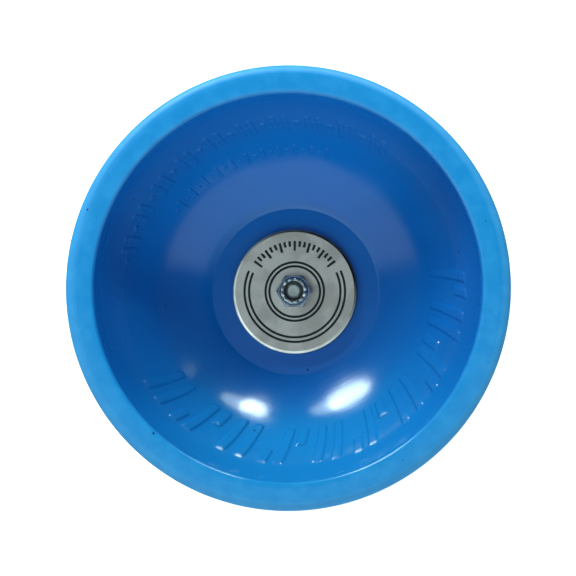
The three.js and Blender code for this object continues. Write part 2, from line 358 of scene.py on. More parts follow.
def bowl_colour(shader, height, across, down):
    """The blue of the floor and the wall. It changes a little with the direction round the axis,
    which stands in for the photo's uneven light."""
    # Painted light: the blue turns paler towards the bottom of the view, less so towards the top, and a
    # little towards the right.
    painted_light = shader.math("ADD", shader.scaled(across, 0, PALER_ACROSS), shader.scaled(down, 0, PALER_DOWN))
    both_ends = shader.math("MULTIPLY", shader.math("MULTIPLY", down, down), PALER_UP_AND_DOWN)
    painted_light = shader.math("ADD", painted_light, both_ends)
    colour = shader.mix(shader.ease(painted_light, -0.15, 1.15), BOWL_BLUE, PALE_BOWL_BLUE)
    up_the_wall = shader.ease(height, FLOOR_HEIGHT, FLOOR_HEIGHT + 10 * MM)
    colour = shader.mix(up_the_wall, FLOOR_BLUE, colour)
    # Painted light: the far side, towards the top of the view, takes a brighter, bluer blue.
    leaning = shader.math("ADD", down, shader.math("MULTIPLY", across, FAR_SIDE_LEAN))
    far_side = shader.ease(leaning, -0.25, -0.90)
    off_the_floor = shader.ease(height, FLOOR_HEIGHT + 0.3 * MM, FLOOR_HEIGHT + 1.5 * MM)
    return shader.mix(shader.math("MULTIPLY", far_side, off_the_floor), colour, FAR_BOWL_BLUE)


def rim_colour(shader, colour, radius, height):
    """The given colour inside the mouth, and outside it the pale rim with its haze and an outer edge made
    lighter by wear and by painted sheen.
    """
    past_mouth = shader.ease(radius, MOUTH_RADIUS - 0.3 * MM, MOUTH_RADIUS + 1.2 * MM)
    near_top = shader.ease(height, RIM_HEIGHT - 20 * MM, RIM_HEIGHT - 4 * MM)
    rim = shader.math("MULTIPLY", past_mouth, near_top)
    # Painted light: the rim takes a paler blue than the bowl, as if lit and glowing through the thin
    # plastic.
    colour = shader.mix(rim, colour, RIM_BLUE)
    haze = shader.math("MULTIPLY", rim, shader.ease(shader.noise(190, 8, offset=11.0), 0.40, 0.66))
    # The outer edge turns lighter: wear on the plastic, and painted sheen on its rounding.
    edge = shader.ease(radius, RIM_RADIUS - EDGE_WIDTH, RIM_RADIUS - 0.3 * EDGE_WIDTH)
    worn_and_sheen = shader.math("ADD", shader.scaled(haze, 0, 0.28), shader.scaled(edge, 0, 0.55), clamp=True)
    return shader.mix(worn_and_sheen, colour, WORN_AND_SHEEN_BLUE)


def plastic_roughness(shader, radius, down, swirl):
    """Smudges, the mould's fine rings, a rubbed outer edge, and a belt just inside the mouth that
    is duller everywhere but towards the bottom of the view."""
    smudge = shader.ease(shader.noise(45, 5, offset=7.7), 0.42, 0.68)
    rough = shader.math("ADD", shader.scaled(smudge, 0.09, 0.16), shader.scaled(swirl, 0, 0.07))
    rubbed = shader.ease(radius, RIM_RADIUS - EDGE_WIDTH, RIM_RADIUS - 0.6 * EDGE_WIDTH)
    rough = shader.math("ADD", rough, shader.scaled(rubbed, 0, 0.36))
    belt = shader.math("MULTIPLY", shader.ease(radius, MOUTH_RADIUS - 8 * MM, MOUTH_RADIUS - 5 * MM),
                       shader.ease(radius, MOUTH_RADIUS, MOUTH_RADIUS - 1 * MM))
    dull = shader.math("MULTIPLY", belt, shader.ease(down, 0.55, 0.15))
    return shader.math("ADD", rough, shader.scaled(dull, 0, 0.20))


def cup_plastic():
    """Glossy moulded plastic with faint clouds and flow marks, a few dark specks, and the fine swirl of the
    mould. It is deep blue in the bowl and lighter at the rim, a difference of painted shade and painted
    light."""
    shader = Shader("cup_plastic", IOR=1.5)
    radius, height = shader.polar()
    x, y = shader.axes()[:2]
    across = shader.math("DIVIDE", x, radius)
    down = shader.math("DIVIDE", y, shader.math("MULTIPLY", radius, -1))
    colour = rim_colour(shader, bowl_colour(shader, height, across, down), radius, height)
    clouds = shader.ease(shader.noise(28, 2), 0.35, 0.65)
    colour = shader.mix(shader.scaled(clouds, 0, 0.10), colour, CLOUD_BLUE)
    flow = shader.ease(shader.noise(60, 4, (1, 1, 0.25), 3.1), 0.55, 0.72)
    colour = shader.mix(shader.scaled(flow, 0, 0.06), colour, FLOW_BLUE)
    shader.set("Base Color", shader.mix(shader.specks(260, 0.34 * MM, 0.84), colour, SPECK_BLUE))
    swirl = shader.rings(1500, 2)
    shader.set("Roughness", plastic_roughness(shader, radius, down, swirl))
    ripple = shader.bump(shader.noise(75, 2, offset=2.0), 0.12 * MM, 0.5)
    grain = shader.bump(shader.noise(2600, 2), 0.006 * MM, 0.5, ripple)
    shader.set("Normal", shader.bump(swirl, 0.014 * MM, 0.6, grain))
    return shader.material


def turned_metal(name, colour, rough, stained=0.8):
    """Lathe-turned metal: fine rings round the axis, and a soft variation in colour and gloss."""
    shader = Shader(name, Metallic=1.0)
    stain = shader.ease(shader.noise(160, 4), 0.4, 0.7)
    darker = tuple(stained * channel for channel in colour[:3]) + (1,)
    shader.set("Base Color", shader.mix(shader.scaled(stain, 0, 0.6), colour, darker))
    shader.set("Roughness", shader.scaled(stain, rough, rough + 0.12))
    shader.set("Normal", shader.bump(shader.rings(5200, 2), 0.008 * MM, 0.5))
    return shader.material


STEEL = (0.75, 0.615, 0.560, 1)
STAINED_STEEL = (0.55, 0.430, 0.370, 1)
BRIGHT_STEEL = (0.85, 0.725, 0.670, 1)


def satin_steel():
    """Tumbled steel: a fine even grain, faint stains, hairline scuffs and a burnished bevel. Its
    colours are warm because the studio's light is slightly blue."""
    shader = Shader("satin_steel", Metallic=1.0)
    grain = shader.noise(3800, 3)
    stain = shader.ease(shader.noise(120, 8, offset=4.2), 0.40, 0.62)
    scuff = shader.ease(shader.noise(1500, 2, (1, 0.08, 1), 9.0), 0.66, 0.72)
    colour = shader.mix(shader.scaled(stain, 0, 0.9), STEEL, STAINED_STEEL)
    shader.set("Base Color", shader.mix(shader.scaled(grain, 0, 0.25), colour, BRIGHT_STEEL))
    bevel_start = DISC_RADIUS - DISC_BEVEL
    burnished = shader.ease(shader.polar()[0], bevel_start - 0.05 * MM, bevel_start + 0.05 * MM)
    rough = shader.math("SUBTRACT", shader.scaled(stain, 0.40, 0.50), shader.scaled(scuff, 0, 0.12))
    shader.set("Roughness", shader.math("SUBTRACT", rough, shader.scaled(burnished, 0, 0.26)))
    shader.set("Normal", shader.bump(grain, 0.02 * MM, 0.6))
    return shader.material


def zinc_plate():
    """Bright zinc with cloudy grey stains."""
    shader = Shader("zinc_plate", Metallic=1.0)
    stain = shader.ease(shader.noise(420, 4, offset=1.7), 0.4, 0.66)
    shader.set("Base Color", shader.mix(stain, (0.52, 0.51, 0.49, 1), (0.28, 0.285, 0.28, 1)))
    shader.set("Roughness", shader.scaled(stain, 0.24, 0.40))
    shader.set("Normal", shader.bump(shader.noise(1800, 3), 0.004 * MM, 0.5))
    return shader.material


def dark_nylon():
    shader = Shader("dark_nylon", IOR=1.53)
    mottle = shader.noise(900, 3)
    shader.set("Base Color", shader.mix(mottle, (0.012, 0.013, 0.015, 1), (0.035, 0.036, 0.040, 1)))
    shader.set("Roughness", shader.scaled(mottle, 0.42, 0.60))
    shader.set("Normal", shader.bump(mottle, 0.02 * MM, 0.4))
    return shader.material


def engraving_ink():
    shader = Shader("engraving_ink", IOR=1.45)
    mottle = shader.noise(2600, 3)
    shader.set("Base Color", shader.mix(mottle, (0.006, 0.006, 0.007, 1), (0.022, 0.022, 0.023, 1)))
    shader.set("Roughness", shader.scaled(mottle, 0.55, 0.75))
    return shader.material


# ---- Cups ----

def cup_outline():
    """The cup's section, from the hub's face up the outer wall, over the rim and down the bowl."""
    hub_bend = math.acos(HUB_FACE_RADIUS / OUTER_WALL_RADIUS)
    hub_angle = -math.degrees(hub_bend)
    wall_height = (MOUTH_HEIGHT - HUB_HEIGHT) / math.sin(hub_bend)
    lip = RIM_HEIGHT - LIP_HEIGHT
    lip_angle = -math.degrees(math.asin((MOUTH_HEIGHT - lip) / wall_height))
    crown = 0.06 * MM
    seam_step = 0.06 * MM
    seam = RIM_RADIUS - EDGE_WIDTH
    mouth_height = MOUTH_HEIGHT - crown
    outer = plain(arc(0, MOUTH_HEIGHT, OUTER_WALL_RADIUS, wall_height, hub_angle, lip_angle, 56))
    outer[-1] = (outer[-1][0], outer[-1][1], 0.35 * MM)
    lip_edge = plain(arc(RIM_RADIUS - LIP_CORNER, lip + LIP_CORNER, LIP_CORNER, LIP_CORNER, -90, 0, 6))
    rounding = plain(arc(seam, RIM_HEIGHT - RIM_ROUNDING - seam_step, EDGE_WIDTH, RIM_ROUNDING, 0, 90, 20))
    face = [
        (seam - 0.15 * MM, RIM_HEIGHT - 0.01 * MM, 0),
        (seam - 1.5 * MM, RIM_HEIGHT, 0),
        (seam - 3.0 * MM, RIM_HEIGHT, 0),
        (MOUTH_RADIUS + 1.8 * MM, RIM_HEIGHT - crown / 3, 0),
    ]
    fillet = plain(arc(MOUTH_RADIUS + MOUTH_FILLET, mouth_height, MOUTH_FILLET, MOUTH_FILLET, 90, 180, 8))
    wall = plain(arc(0, mouth_height, MOUTH_RADIUS, BOWL_HEIGHT - crown, 0, FLOOR_ANGLE, 72))[1:]
    wall[-1] = (FLOOR_RADIUS, FLOOR_HEIGHT, 0.3 * MM)
    floor = [
        (SEAT_RADIUS, FLOOR_HEIGHT, 0.15 * MM),
        (SEAT_RADIUS, DISC_SEAT, 0.05 * MM),
        (BORE_RADIUS, DISC_SEAT, 0.1 * MM),
        (BORE_RADIUS, HUB_HEIGHT, 0.2 * MM),
    ]
    return rounded(outer + lip_edge + rounding + face + fillet + wall + floor)


# ---- Raised marks in the bowl ----

class Wall:
    """The bowl's inner wall, addressed by distance up from the floor's edge and by angle."""

    def __init__(self):
        bends = np.radians(np.linspace(FLOOR_ANGLE, 0, 400))
        self.radius = MOUTH_RADIUS * np.cos(bends)
        self.height = MOUTH_HEIGHT + BOWL_HEIGHT * np.sin(bends)
        steps = np.hypot(np.diff(self.radius), np.diff(self.height))
        self.along = np.concatenate([[0], np.cumsum(steps)])
        slope = np.stack([np.gradient(self.radius), np.gradient(self.height)], 1)
        slope /= np.linalg.norm(slope, axis=1)[:, None]
        self.inward = np.stack([-slope[:, 1], slope[:, 0]], 1)

    def at_radius(self, radius):
        return float(np.interp(radius, self.radius, self.along))

    def place(self, angle, along, lift, side):
        radius = np.interp(along, self.along, self.radius)
        radius = radius + lift * np.interp(along, self.along, self.inward[:, 0])
        height = np.interp(along, self.along, self.height)
        height = height + lift * np.interp(along, self.along, self.inward[:, 1])
        return np.stack([radius * np.cos(angle), side * radius * np.sin(angle), MID + side * height], -1)


def pill(half_across, half_along, inset):
    """Outline of a rounded bar, drawn in by inset, from its lowest middle point round."""
    across, along = half_across - inset, half_along - inset
    corner = 0.45 * min(half_across, half_along)
    corner = min(max(corner - inset, 0.3 * across), across, along)
    turn = np.radians(np.linspace(0, 90, 9))
    flat = np.linspace(0, across - corner, 4)[:-1]
    edge = np.linspace(-(along - corner), along - corner, 17)[1:-1]
    lower = [(across - corner + corner * math.sin(t), -along + corner - corner * math.cos(t)) for t in turn]
    upper = [(across - corner + corner * math.cos(t), along - corner + corner * math.sin(t)) for t in turn]
    right = [(x, -along) for x in flat] + lower + [(across, y) for y in edge] + upper
    right += [(x, along) for x in flat[:0:-1]]
    return np.array(right + [(-x, -y) for x, y in right])


def raised_mark(wall, side, angle, radius, half_across, half_along, rise, slant):
    """Vertices and faces of one low bar on the bowl's wall, with soft edges and a sunken base."""
    edge = min(0.60 * MM, 0.45 * min(half_across, half_along))
    deepest = 0.97 * min(half_across, half_along)
    halfway = 0.5 * (edge + deepest)
    middle = wall.at_radius(radius)
    base = [(deepest, -0.7), (halfway, -0.7), (-0.9 * edge, -0.7)]
    shoulder = [
        (-0.9 * edge, -0.25), (-0.55 * edge, 0.03), (-0.25 * edge, 0.16), (0.0, 0.40),
        (0.25 * edge, 0.68), (0.55 * edge, 0.90), (edge, 1.0), (halfway, 1.0), (deepest, 1.0),
    ]
    rings = []
    for inset, lift in base + shoulder:
        points = pill(half_across, half_along, inset)
        turn = angle + (points[:, 0] + slant * points[:, 1]) / radius
        rings.append(wall.place(turn, middle + points[:, 1], lift * rise, side))
    count = len(rings[0])
    faces = []
    for ring in range(len(rings) - 1):
        here, above = ring * count, (ring + 1) * count
        for i in range(count):
            j = (i + 1) % count
            faces.append([here + i, here + j, above + j, above + i])
    faces += [strip[::-1] for strip in strips_across(0, count)]
    faces += strips_across((len(rings) - 1) * count, count)
    return np.concatenate(rings), faces


def strips_across(start, count):
    """Faces that close a bar's end ring, each across from one side of the outline to the other."""
    half = count // 2
    strips = [[start, start + 1, start + count - 1]]
    for i in range(1, half - 1):
        strips.append([start + i, start + i + 1, start + count - i - 1, start + count - i])
    return strips + [[start + half - 1, start + half, start + half + 1]]


def mark_layout():
    """Plain leaning bars low in the view, and two finer rows of bars and dots above. Each is
    (angle, radius, half width, half length, rise, lean), in degrees and millimetres."""
    layout = []
    for index in range(24):
        length, shift = ((7.9, 0), (7.9, 0), (3.4, 3.0), (7.9, 0), (3.4, -3.0))[index % 5]
        layout.append((-145 + 6.55 * index, 47.4 + shift, 1.35, length, 0.42, -0.2))
    for index in range(30):
        length = (3.4, 3.4, 0.8)[index % 3]
        layout.append((57 + 3.9 * index, 50.2, 0.75, length, 0.20, 0.18))
    for index in range(22):
        length = (2.0, 0.5)[index % 2]
        layout.append((76 + 3.3 * index, 42.6, 0.45, length, 0.20, 0.12))
    return layout


def cup_marks(name, side):
    wall = Wall()
    marks = []
    for degrees, *sizes, slant in mark_layout():
        sizes = [size * MM for size in sizes]
        marks.append(raised_mark(wall, side, math.radians(degrees), *sizes, slant))
    return add_mesh(f"cup_marks_{name}", *joined(marks), sharp=80)


def make_cups(plastic):
    for name, side in SIDES.items():
        cup = spin(f"moulded_cup_{name}", cup_outline(), 384, side, sharp=40)
        settle(cup, plastic, "cup_plastic", ROOT, f"cup_{name}")
        settle(cup_marks(name, side), plastic, "cup_plastic", ROOT)


# ---- Steel discs ----

GROOVE_DEPTH = 0.10 * MM
DOUBLE_RING = (14.0 * MM, 15.4 * MM)
HUB_RING = (7.75 * MM, 8.95 * MM)
LINE_WIDTH = 0.65 * MM
GAP_START, GAP_END = 24, 156
TICK_START, TICK_END, TICK_COUNT = 37, 143, 19
TICK_SPAN = (12.5 * MM, 15.5 * MM)
TICK_MIDDLE = 13.8 * MM


def disc_rows():
    """Radii of the face's rows: a pair at each side of every line, so that lines stay crisp."""
    wall = 0.03 * MM
    edges = [line + sign * LINE_WIDTH / 2 for line in DOUBLE_RING + HUB_RING for sign in (-1, 1)]
    edges += [*TICK_SPAN, TICK_MIDDLE]
    rows = [edge + offset for edge in edges for offset in (-wall, wall)]
    inner_end, outer_end = 3.0 * MM, DISC_RADIUS - DISC_BEVEL - 0.05 * MM
    rows += list(np.linspace(inner_end + 0.2 * MM, outer_end - 0.1 * MM, 14))
    return [row for row in sorted(set(rows), reverse=True) if inner_end < row < outer_end]


def engraved(degrees, radius):
    """True on the double arc, on the ticks that fill its gap, and on the ring round the nut."""
    in_gap = (degrees > GAP_START) & (degrees < GAP_END)
    mask = np.zeros_like(radius, dtype=bool)
    for line in DOUBLE_RING:
        mask |= (np.abs(radius - line) < LINE_WIDTH / 2) & ~in_gap
    for line in HUB_RING:
        mask |= np.abs(radius - line) < LINE_WIDTH / 2
    pitch = (TICK_END - TICK_START) / (TICK_COUNT - 1)
    nearest = np.clip(np.round((degrees - TICK_START) / pitch), 0, TICK_COUNT - 1)
    off_centre = np.radians(np.abs(degrees - TICK_START - nearest * pitch)) * radius
    inner_end = np.where(nearest % 3 == 0, TICK_SPAN[0], TICK_MIDDLE)
    mask |= (off_centre < LINE_WIDTH / 2) & (radius > inner_end) & (radius < TICK_SPAN[1])
    return mask


def make_discs(steel, ink):
    bore, bevel_drop = 2.6 * MM, 0.20 * MM
    sides = 720
    outline = rounded([
        (bore, DISC_SEAT, 0.1 * MM),
        (DISC_RADIUS, DISC_SEAT, 0.15 * MM),
        (DISC_RADIUS, DISC_FACE - bevel_drop, 0.06 * MM),
        (DISC_RADIUS - DISC_BEVEL, DISC_FACE, 0.03 * MM),
    ] + [(row, DISC_FACE, 0) for row in disc_rows()] + [(bore, DISC_FACE, 0.1 * MM)], steps=3)

    def sink(angles, radius, height):
        """Lowers the marked points of the face to the bottom of the grooves."""
        on_face = height > DISC_FACE - 1e-7
        marked = engraved(np.degrees(angles), radius) & on_face
        return radius, height - GROOVE_DEPTH * marked

    for name, side in SIDES.items():
        disc = spin(f"engraved_disc_{name}", outline, sides, side, sink, sharp=30)
        disc.data.materials.append(steel)
        disc.data.materials.append(ink)
        depth = np.array([side * (v.co.z - MID) for v in disc.data.vertices])
        radius = np.array([v.co.xy.length for v in disc.data.vertices])
        sunk = (depth < DISC_FACE - GROOVE_DEPTH / 2) & (depth > DISC_FACE - 2 * GROOVE_DEPTH)
        sunk &= radius < DISC_RADIUS - 2 * DISC_BEVEL
        for face in disc.data.polygons:
            if sum(sunk[v] for v in face.vertices) >= 2:
                face.material_index = 1
        settle(disc, steel, "disc_steel", ROOT, f"weight_disc_{name}")


# ---- Lock nuts, inserts and rod ----

def make_nuts(zinc, nylon):
    low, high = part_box("lock_nut_upper")
    flat = (high.y - low.y) / 2
    corner = flat / math.cos(math.radians(30))
    hexagon_top = DISC_FACE + 4.0 * MM
    chamfer = 0.45 * MM
    corner_loss = 0.10 * MM
    bore, lip, recess, collar = 2.5 * MM, 3.05 * MM, 3.55 * MM, 4.2 * MM
    lip_base = NUT_TOP - 0.45 * MM
    crimp_depth, crimp_drop, crimp_count = 0.16 * MM, 0.14 * MM, 12
    side_heights = [DISC_FACE + h for h in np.linspace(0, chamfer, 9)]
    side_heights += [hexagon_top - h for h in np.linspace(chamfer, 0, 9)]
    outline = [(bore, DISC_FACE), (flat - 0.5 * MM, DISC_FACE)]
    outline += [(corner, height) for height in side_heights]
    outline += [
        (collar + 0.25 * MM, hexagon_top),
        (collar + 0.08 * MM, hexagon_top + 0.12 * MM),
        (collar, hexagon_top + 0.35 * MM),
    ]
    outline += arc(3.62 * MM, NUT_TOP - 0.62 * MM, 0.58 * MM, 0.62 * MM, 0, 90, 8)
    outline += arc(lip + 0.2 * MM, NUT_TOP - 0.22 * MM, 0.2 * MM, 0.2 * MM, 90, 180, 4)
    outline += [(lip, lip_base), (recess, lip_base), (recess, hexagon_top), (bore, hexagon_top)]

    def shape(angles, radius, height):
        """Cuts the round outline to a chamfered hexagon, and crimps the collar above it."""
        turn = (np.degrees(angles) + 60) % 60 - 30
        across = np.minimum(flat / np.cos(np.radians(turn)), corner - corner_loss)
        near_end = np.minimum(height - DISC_FACE, hexagon_top - height)
        cone = flat - 0.05 * MM + (near_end / chamfer) * (corner - flat + corner_loss)
        on_side = radius > flat - 0.1 * MM
        limited = np.where(on_side, np.minimum(across, cone), radius)
        up_the_collar = np.clip((height - hexagon_top) / (NUT_TOP - hexagon_top), 0, 1)
        outside = radius > lip + 0.1 * MM
        crimp = np.abs(np.cos(crimp_count / 2 * angles)) ** 3 * up_the_collar * outside
        on_top = height > NUT_TOP - 0.7 * MM
        return limited - crimp_depth * crimp, height - crimp_drop * crimp * on_top

    ring_inner, ring_outer = 2.45 * MM, 3.45 * MM
    ring_low, ring_high = hexagon_top + 0.1 * MM, hexagon_top + 1.3 * MM
    insert = rounded([
        (ring_inner, ring_low, 0.1 * MM),
        (ring_outer, ring_low, 0.1 * MM),
        (ring_outer, ring_high, 0.1 * MM),
        (ring_inner, ring_high, 0.3 * MM),
    ])
    for name, side in SIDES.items():
        nut = spin(f"hex_lock_nut_{name}", outline, 360, side, shape, sharp=28)
        settle(nut, zinc, "zinc_plate", ROOT, f"lock_nut_{name}")
        ring = spin(f"nylon_ring_{name}", insert, 96, side)
        settle(ring, nylon, "nylon", ROOT, f"nylon_insert_{name}")


def make_rod(steel):
    end = span("axle_rod")[1]
    radius = half_width("axle_rod")
    pitch, depth, tip = 0.8 * MM, 0.42 * MM, 0.7 * MM
    thread_start = end - 16 * MM
    fine = np.arange(thread_start, end - 1e-7, pitch / 10)
    heights = np.concatenate([-fine[::-1], fine])
    outline = [(0, -end), (radius - tip, -end)]
    outline += [(radius, height) for height in heights[1:-1]]
    outline += [(radius - tip, end), (0, end)]

    def thread(angles, radial, height):
        """Cuts a thread into each end, which fades out towards the middle, and a cone at its tip."""
        phase = (height / pitch - angles / math.tau) % 1
        ridge = np.clip(1.25 * (1 - np.abs(2 * phase - 1)) - 0.1, 0, 1)
        fade = np.clip((np.abs(height) - thread_start) / pitch, 0, 1)
        cone = radius - tip + end - np.abs(height)
        limited = np.minimum(radius - depth * ridge * fade, cone)
        return np.where(radial >= radius - 1e-9, limited, radial), height

    rod = spin("threaded_rod", outline, 96, 1, thread)
    settle(rod, steel, "rod_steel", ROOT, "axle_rod")


# ---- Roller, cones and bearings ----

AXLE_BORE = 2.5 * MM
BEARING_RADIUS = 8.0 * MM
BALL_COUNT = 7


def make_roller(metal):
    end = span("roller")[1]
    start = span("bearing_outer_ring_upper")[0]
    flare = half_width("roller")
    edge = flare - 0.1 * MM
    waist = 9.5 * MM
    seat, bore = 8.05 * MM, 6.7 * MM
    shoulder = end - 0.5 * MM
    drop = flare - waist
    sweep = (shoulder ** 2 + drop ** 2) / (2 * drop)
    turn = math.degrees(math.asin(shoulder / sweep))
    corners = [(seat, -end, 0.15 * MM), (edge, -end, 0.35 * MM)]
    corners += plain(arc(waist + sweep, 0, sweep, sweep, 180 + turn, 180 - turn, 48))
    corners += [
        (edge, end, 0.35 * MM), (seat, end, 0.15 * MM),
        (seat, start, 0.05 * MM), (bore, start, 0.1 * MM),
        (bore, -start, 0.1 * MM), (seat, -start, 0.05 * MM),
    ]
    roller = spin("turned_roller", rounded(corners), 192)
    settle(roller, metal, "aluminium", "roller", "roller")


def make_cones(metal):
    small, large = 11.2 * MM, half_width("hub_cone_upper")
    spigot_end = span("hub_cone_upper")[1]
    edge, hollow = 0.5 * MM, 1.2 * MM
    flare = []
    for step in np.linspace(0, 1, 33):
        radius = small + (large - small) * step - hollow * math.sin(math.pi * step)
        flare.append((radius, CONE_FACE + (HUB_HEIGHT - edge - CONE_FACE) * step, 0))
    corners = [(AXLE_BORE, CONE_FACE, 0.2 * MM)] + flare + [
        (large, HUB_HEIGHT, 0.15 * MM), (BEARING_RADIUS, HUB_HEIGHT, 0),
        (BEARING_RADIUS, spigot_end, 0.3 * MM), (AXLE_BORE, spigot_end, 0.2 * MM),
    ]
    for name, side in SIDES.items():
        cone = spin(f"turned_cone_{name}", rounded(corners), 192, side)
        settle(cone, metal, "aluminium", ROOT, f"hub_cone_{name}")


def box_ring(name, node, inner, outer, sides, side, rounding=0.08 * MM):
    low, high = sorted(side * (corner.z - MID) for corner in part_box(node))
    return spin(name, rounded([
        (inner, low, rounding), (outer, low, rounding), (outer, high, rounding), (inner, high, rounding),
    ]), sides, side)


def make_bearings(steel, polished, zinc):
    pitch, race, ball = 5.3 * MM, 1.5 * MM, half_width("bearing_ball_upper_1")
    inner_shoulder, outer_shoulder, shield_seat = 4.4 * MM, 6.3 * MM, 6.75 * MM
    shield, sleeve = (4.6 * MM, 6.65 * MM), 3.7 * MM
    start, end = span("bearing_outer_ring_upper")
    middle = (start + end) / 2
    inset = 0.45 * MM
    soft, crisp = 0.12 * MM, 0.05 * MM
    inner_angle = math.degrees(math.acos((pitch - inner_shoulder) / race))
    outer_angle = math.degrees(math.acos((outer_shoulder - pitch) / race))
    inner_ring = [(AXLE_BORE, start, soft), (inner_shoulder, start, soft)]
    inner_ring += plain(arc(pitch, middle, race, race, 180 + inner_angle, 180 - inner_angle, 24))
    inner_ring += [(inner_shoulder, end, soft), (AXLE_BORE, end, soft)]
    outer_ring = [
        (BEARING_RADIUS, start, soft), (BEARING_RADIUS, end, soft), (shield_seat, end, crisp),
        (shield_seat, end - inset, 0), (outer_shoulder, end - inset, crisp),
    ]
    outer_ring += plain(arc(pitch, middle, race, race, outer_angle, -outer_angle, 24))
    outer_ring += [
        (outer_shoulder, start + inset, crisp), (shield_seat, start + inset, 0), (shield_seat, start, crisp),
    ]
    for name, side in SIDES.items():
        piece = spin(f"ground_inner_ring_{name}", rounded(inner_ring), 128, side)
        settle(piece, steel, "bearing_steel", ROOT, f"bearing_inner_ring_{name}")
        piece = spin(f"ground_outer_ring_{name}", rounded(outer_ring), 160, side)
        settle(piece, steel, "bearing_steel", "roller", f"bearing_outer_ring_{name}")
        for where in ("inboard", "outboard"):
            node = f"bearing_shield_{name}_{where}"
            piece = box_ring(f"pressed_shield_{name}_{where}", node, *shield, 128, side, 0.06 * MM)
            settle(piece, steel, "bearing_steel", "roller", node)
        piece = box_ring(f"ground_shim_{name}", f"shim_{name}", AXLE_BORE, sleeve, 96, side)
        settle(piece, zinc, "zinc_plate", ROOT, f"shim_{name}")
        make_cage(name, side, middle, pitch, ball, steel)
        make_balls(name, ball, polished)
    piece = box_ring("ground_spacer", "spacer_tube", AXLE_BORE, sleeve, 96, 1)
    settle(piece, zinc, "zinc_plate", ROOT, "spacer_tube")


def make_cage(name, side, middle, pitch, ball, steel):
    """Two pressed ribbons that bulge round the balls, held together by a rivet between each two."""
    inner, outer = 4.78 * MM, 5.82 * MM
    thickness, room = 0.25 * MM, ball + 0.08 * MM
    half_gap, rivet = 0.02 * MM, 0.32 * MM
    ribbons = []

    def bulge(angles):
        off = np.abs((angles * BALL_COUNT / math.tau + 0.5) % 1 - 0.5) * math.tau / BALL_COUNT * pitch
        return np.sqrt(np.maximum(room ** 2 - off ** 2, 0)) + half_gap

    for sign in (1, -1):
        def shape(angles, radius, height, sign=sign):
            return radius, middle + sign * bulge(angles) + (height - middle)

        low, high = (0, thickness) if sign == 1 else (-thickness, 0)
        outline = [
            (inner, middle + low), (outer, middle + low),
            (outer, middle + high), (inner, middle + high),
        ]
        ribbons.append(turned(outline, 280, side, shape))
    cage = add_mesh(f"ribbon_cage_{name}", *joined(ribbons))
    mesh = bmesh.new()
    mesh.from_mesh(cage.data)
    for index in range(BALL_COUNT):
        turn = math.tau * (index + 0.5) / BALL_COUNT
        made = bmesh.ops.create_cone(mesh, cap_ends=True, segments=20, radius1=rivet, radius2=rivet,
                                     depth=2 * thickness + 0.3 * MM)
        place = Vector((pitch * math.cos(turn), side * pitch * math.sin(turn), MID + side * middle))
        bmesh.ops.translate(mesh, verts=made["verts"], vec=place)
    mesh.to_mesh(cage.data)
    mesh.free()
    settle(cage, steel, "bearing_steel", f"cage_{name}", f"bearing_cage_{name}")


def make_balls(name, radius, polished):
    for index in range(1, BALL_COUNT + 1):
        node = f"bearing_ball_{name}_{index}"
        low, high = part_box(node)
        mesh = bmesh.new()
        bmesh.ops.create_icosphere(mesh, subdivisions=4, radius=radius)
        bmesh.ops.translate(mesh, verts=mesh.verts, vec=(low + high) / 2)
        data = bpy.data.meshes.new(node)
        mesh.to_mesh(data)
        mesh.free()
        data.shade_smooth()
        ball = bpy.data.objects.new(f"polished_ball_{name}_{index}", data)
        bpy.context.scene.collection.objects.link(ball)
        settle(ball, polished, "ball_steel", f"cage_{name}", node)


# ---- Studio ----

ROOM_GLOW = 0.10
LOW_CARD_GLOW = 1.7
HIGH_CARD_GLOW = 0.85
HIGH_CARD_LEAN = 0.05
CEILING_GLOW = 0.58
CEILING_LEAN = (-1.0, -1.5)
OVERHEAD_GLOW = 0.55
DIM_OVERHEAD_GLOW = 0.08
GROUND_GLOW = 0.38
BACKDROP_GLOW = 1.0
FLOOR_GLOW = 0.68
ROOM_TINT = (0.84, 0.95, 1.0, 1)
CEILING_TINT = (0.70, 1.10, 1.20, 1)
WINDOW_TINT = (0.78, 0.98, 1.0)
WINDOW_DISTANCE = 1.1
WHITE = (1, 1, 1, 1)

CAMERA_DISTANCE = 0.700
CAMERA_TILT = math.radians(4.3)
CAMERA_HEADING = math.radians(-28.5)
CAMERA_AIM = (0.40 * MM, -0.25 * MM)
CAMERA_LENS = 150.6


def make_floor():
    """A pale floor, hidden from the object's reflections and bounced light: the world's glow from
    below takes its place there."""
    mesh = bmesh.new()
    bmesh.ops.create_grid(mesh, x_segments=8, y_segments=8, size=3.0)
    data = bpy.data.meshes.new("studio_floor")
    mesh.to_mesh(data)
    mesh.free()
    floor = bpy.data.objects.new("studio_floor", data)
    bpy.context.scene.collection.objects.link(floor)
    shader = Shader("studio_white", Base_Color=(0.90, 0.90, 0.90, 1), Roughness=0.9,
                    Emission_Color=WHITE, Emission_Strength=FLOOR_GLOW)
    data.materials.append(shader.material)
    floor.visible_glossy = False
    floor.visible_diffuse = False


def add_window(name, azimuth, elevation, size, power):
    """An oval light that faces the upper rim. Its azimuth, in degrees, counts from the top of the
    view, positive towards the right."""
    turn, rise = math.radians(azimuth), math.radians(elevation)
    away = Vector((math.sin(turn) * math.cos(rise), math.cos(turn) * math.cos(rise), math.sin(rise)))
    data = bpy.data.lights.new(name, "AREA")
    data.shape = "ELLIPSE"
    data.size, data.size_y = size
    data.energy = power
    data.color = WINDOW_TINT
    light = bpy.data.objects.new(name, data)
    light.location = Vector((0, 0, MID + RIM_HEIGHT)) + away * WINDOW_DISTANCE
    light.rotation_mode = "QUATERNION"
    light.rotation_quaternion = away.to_track_quat("Z", "Y")
    light.visible_camera = False
    bpy.context.scene.collection.objects.link(light)


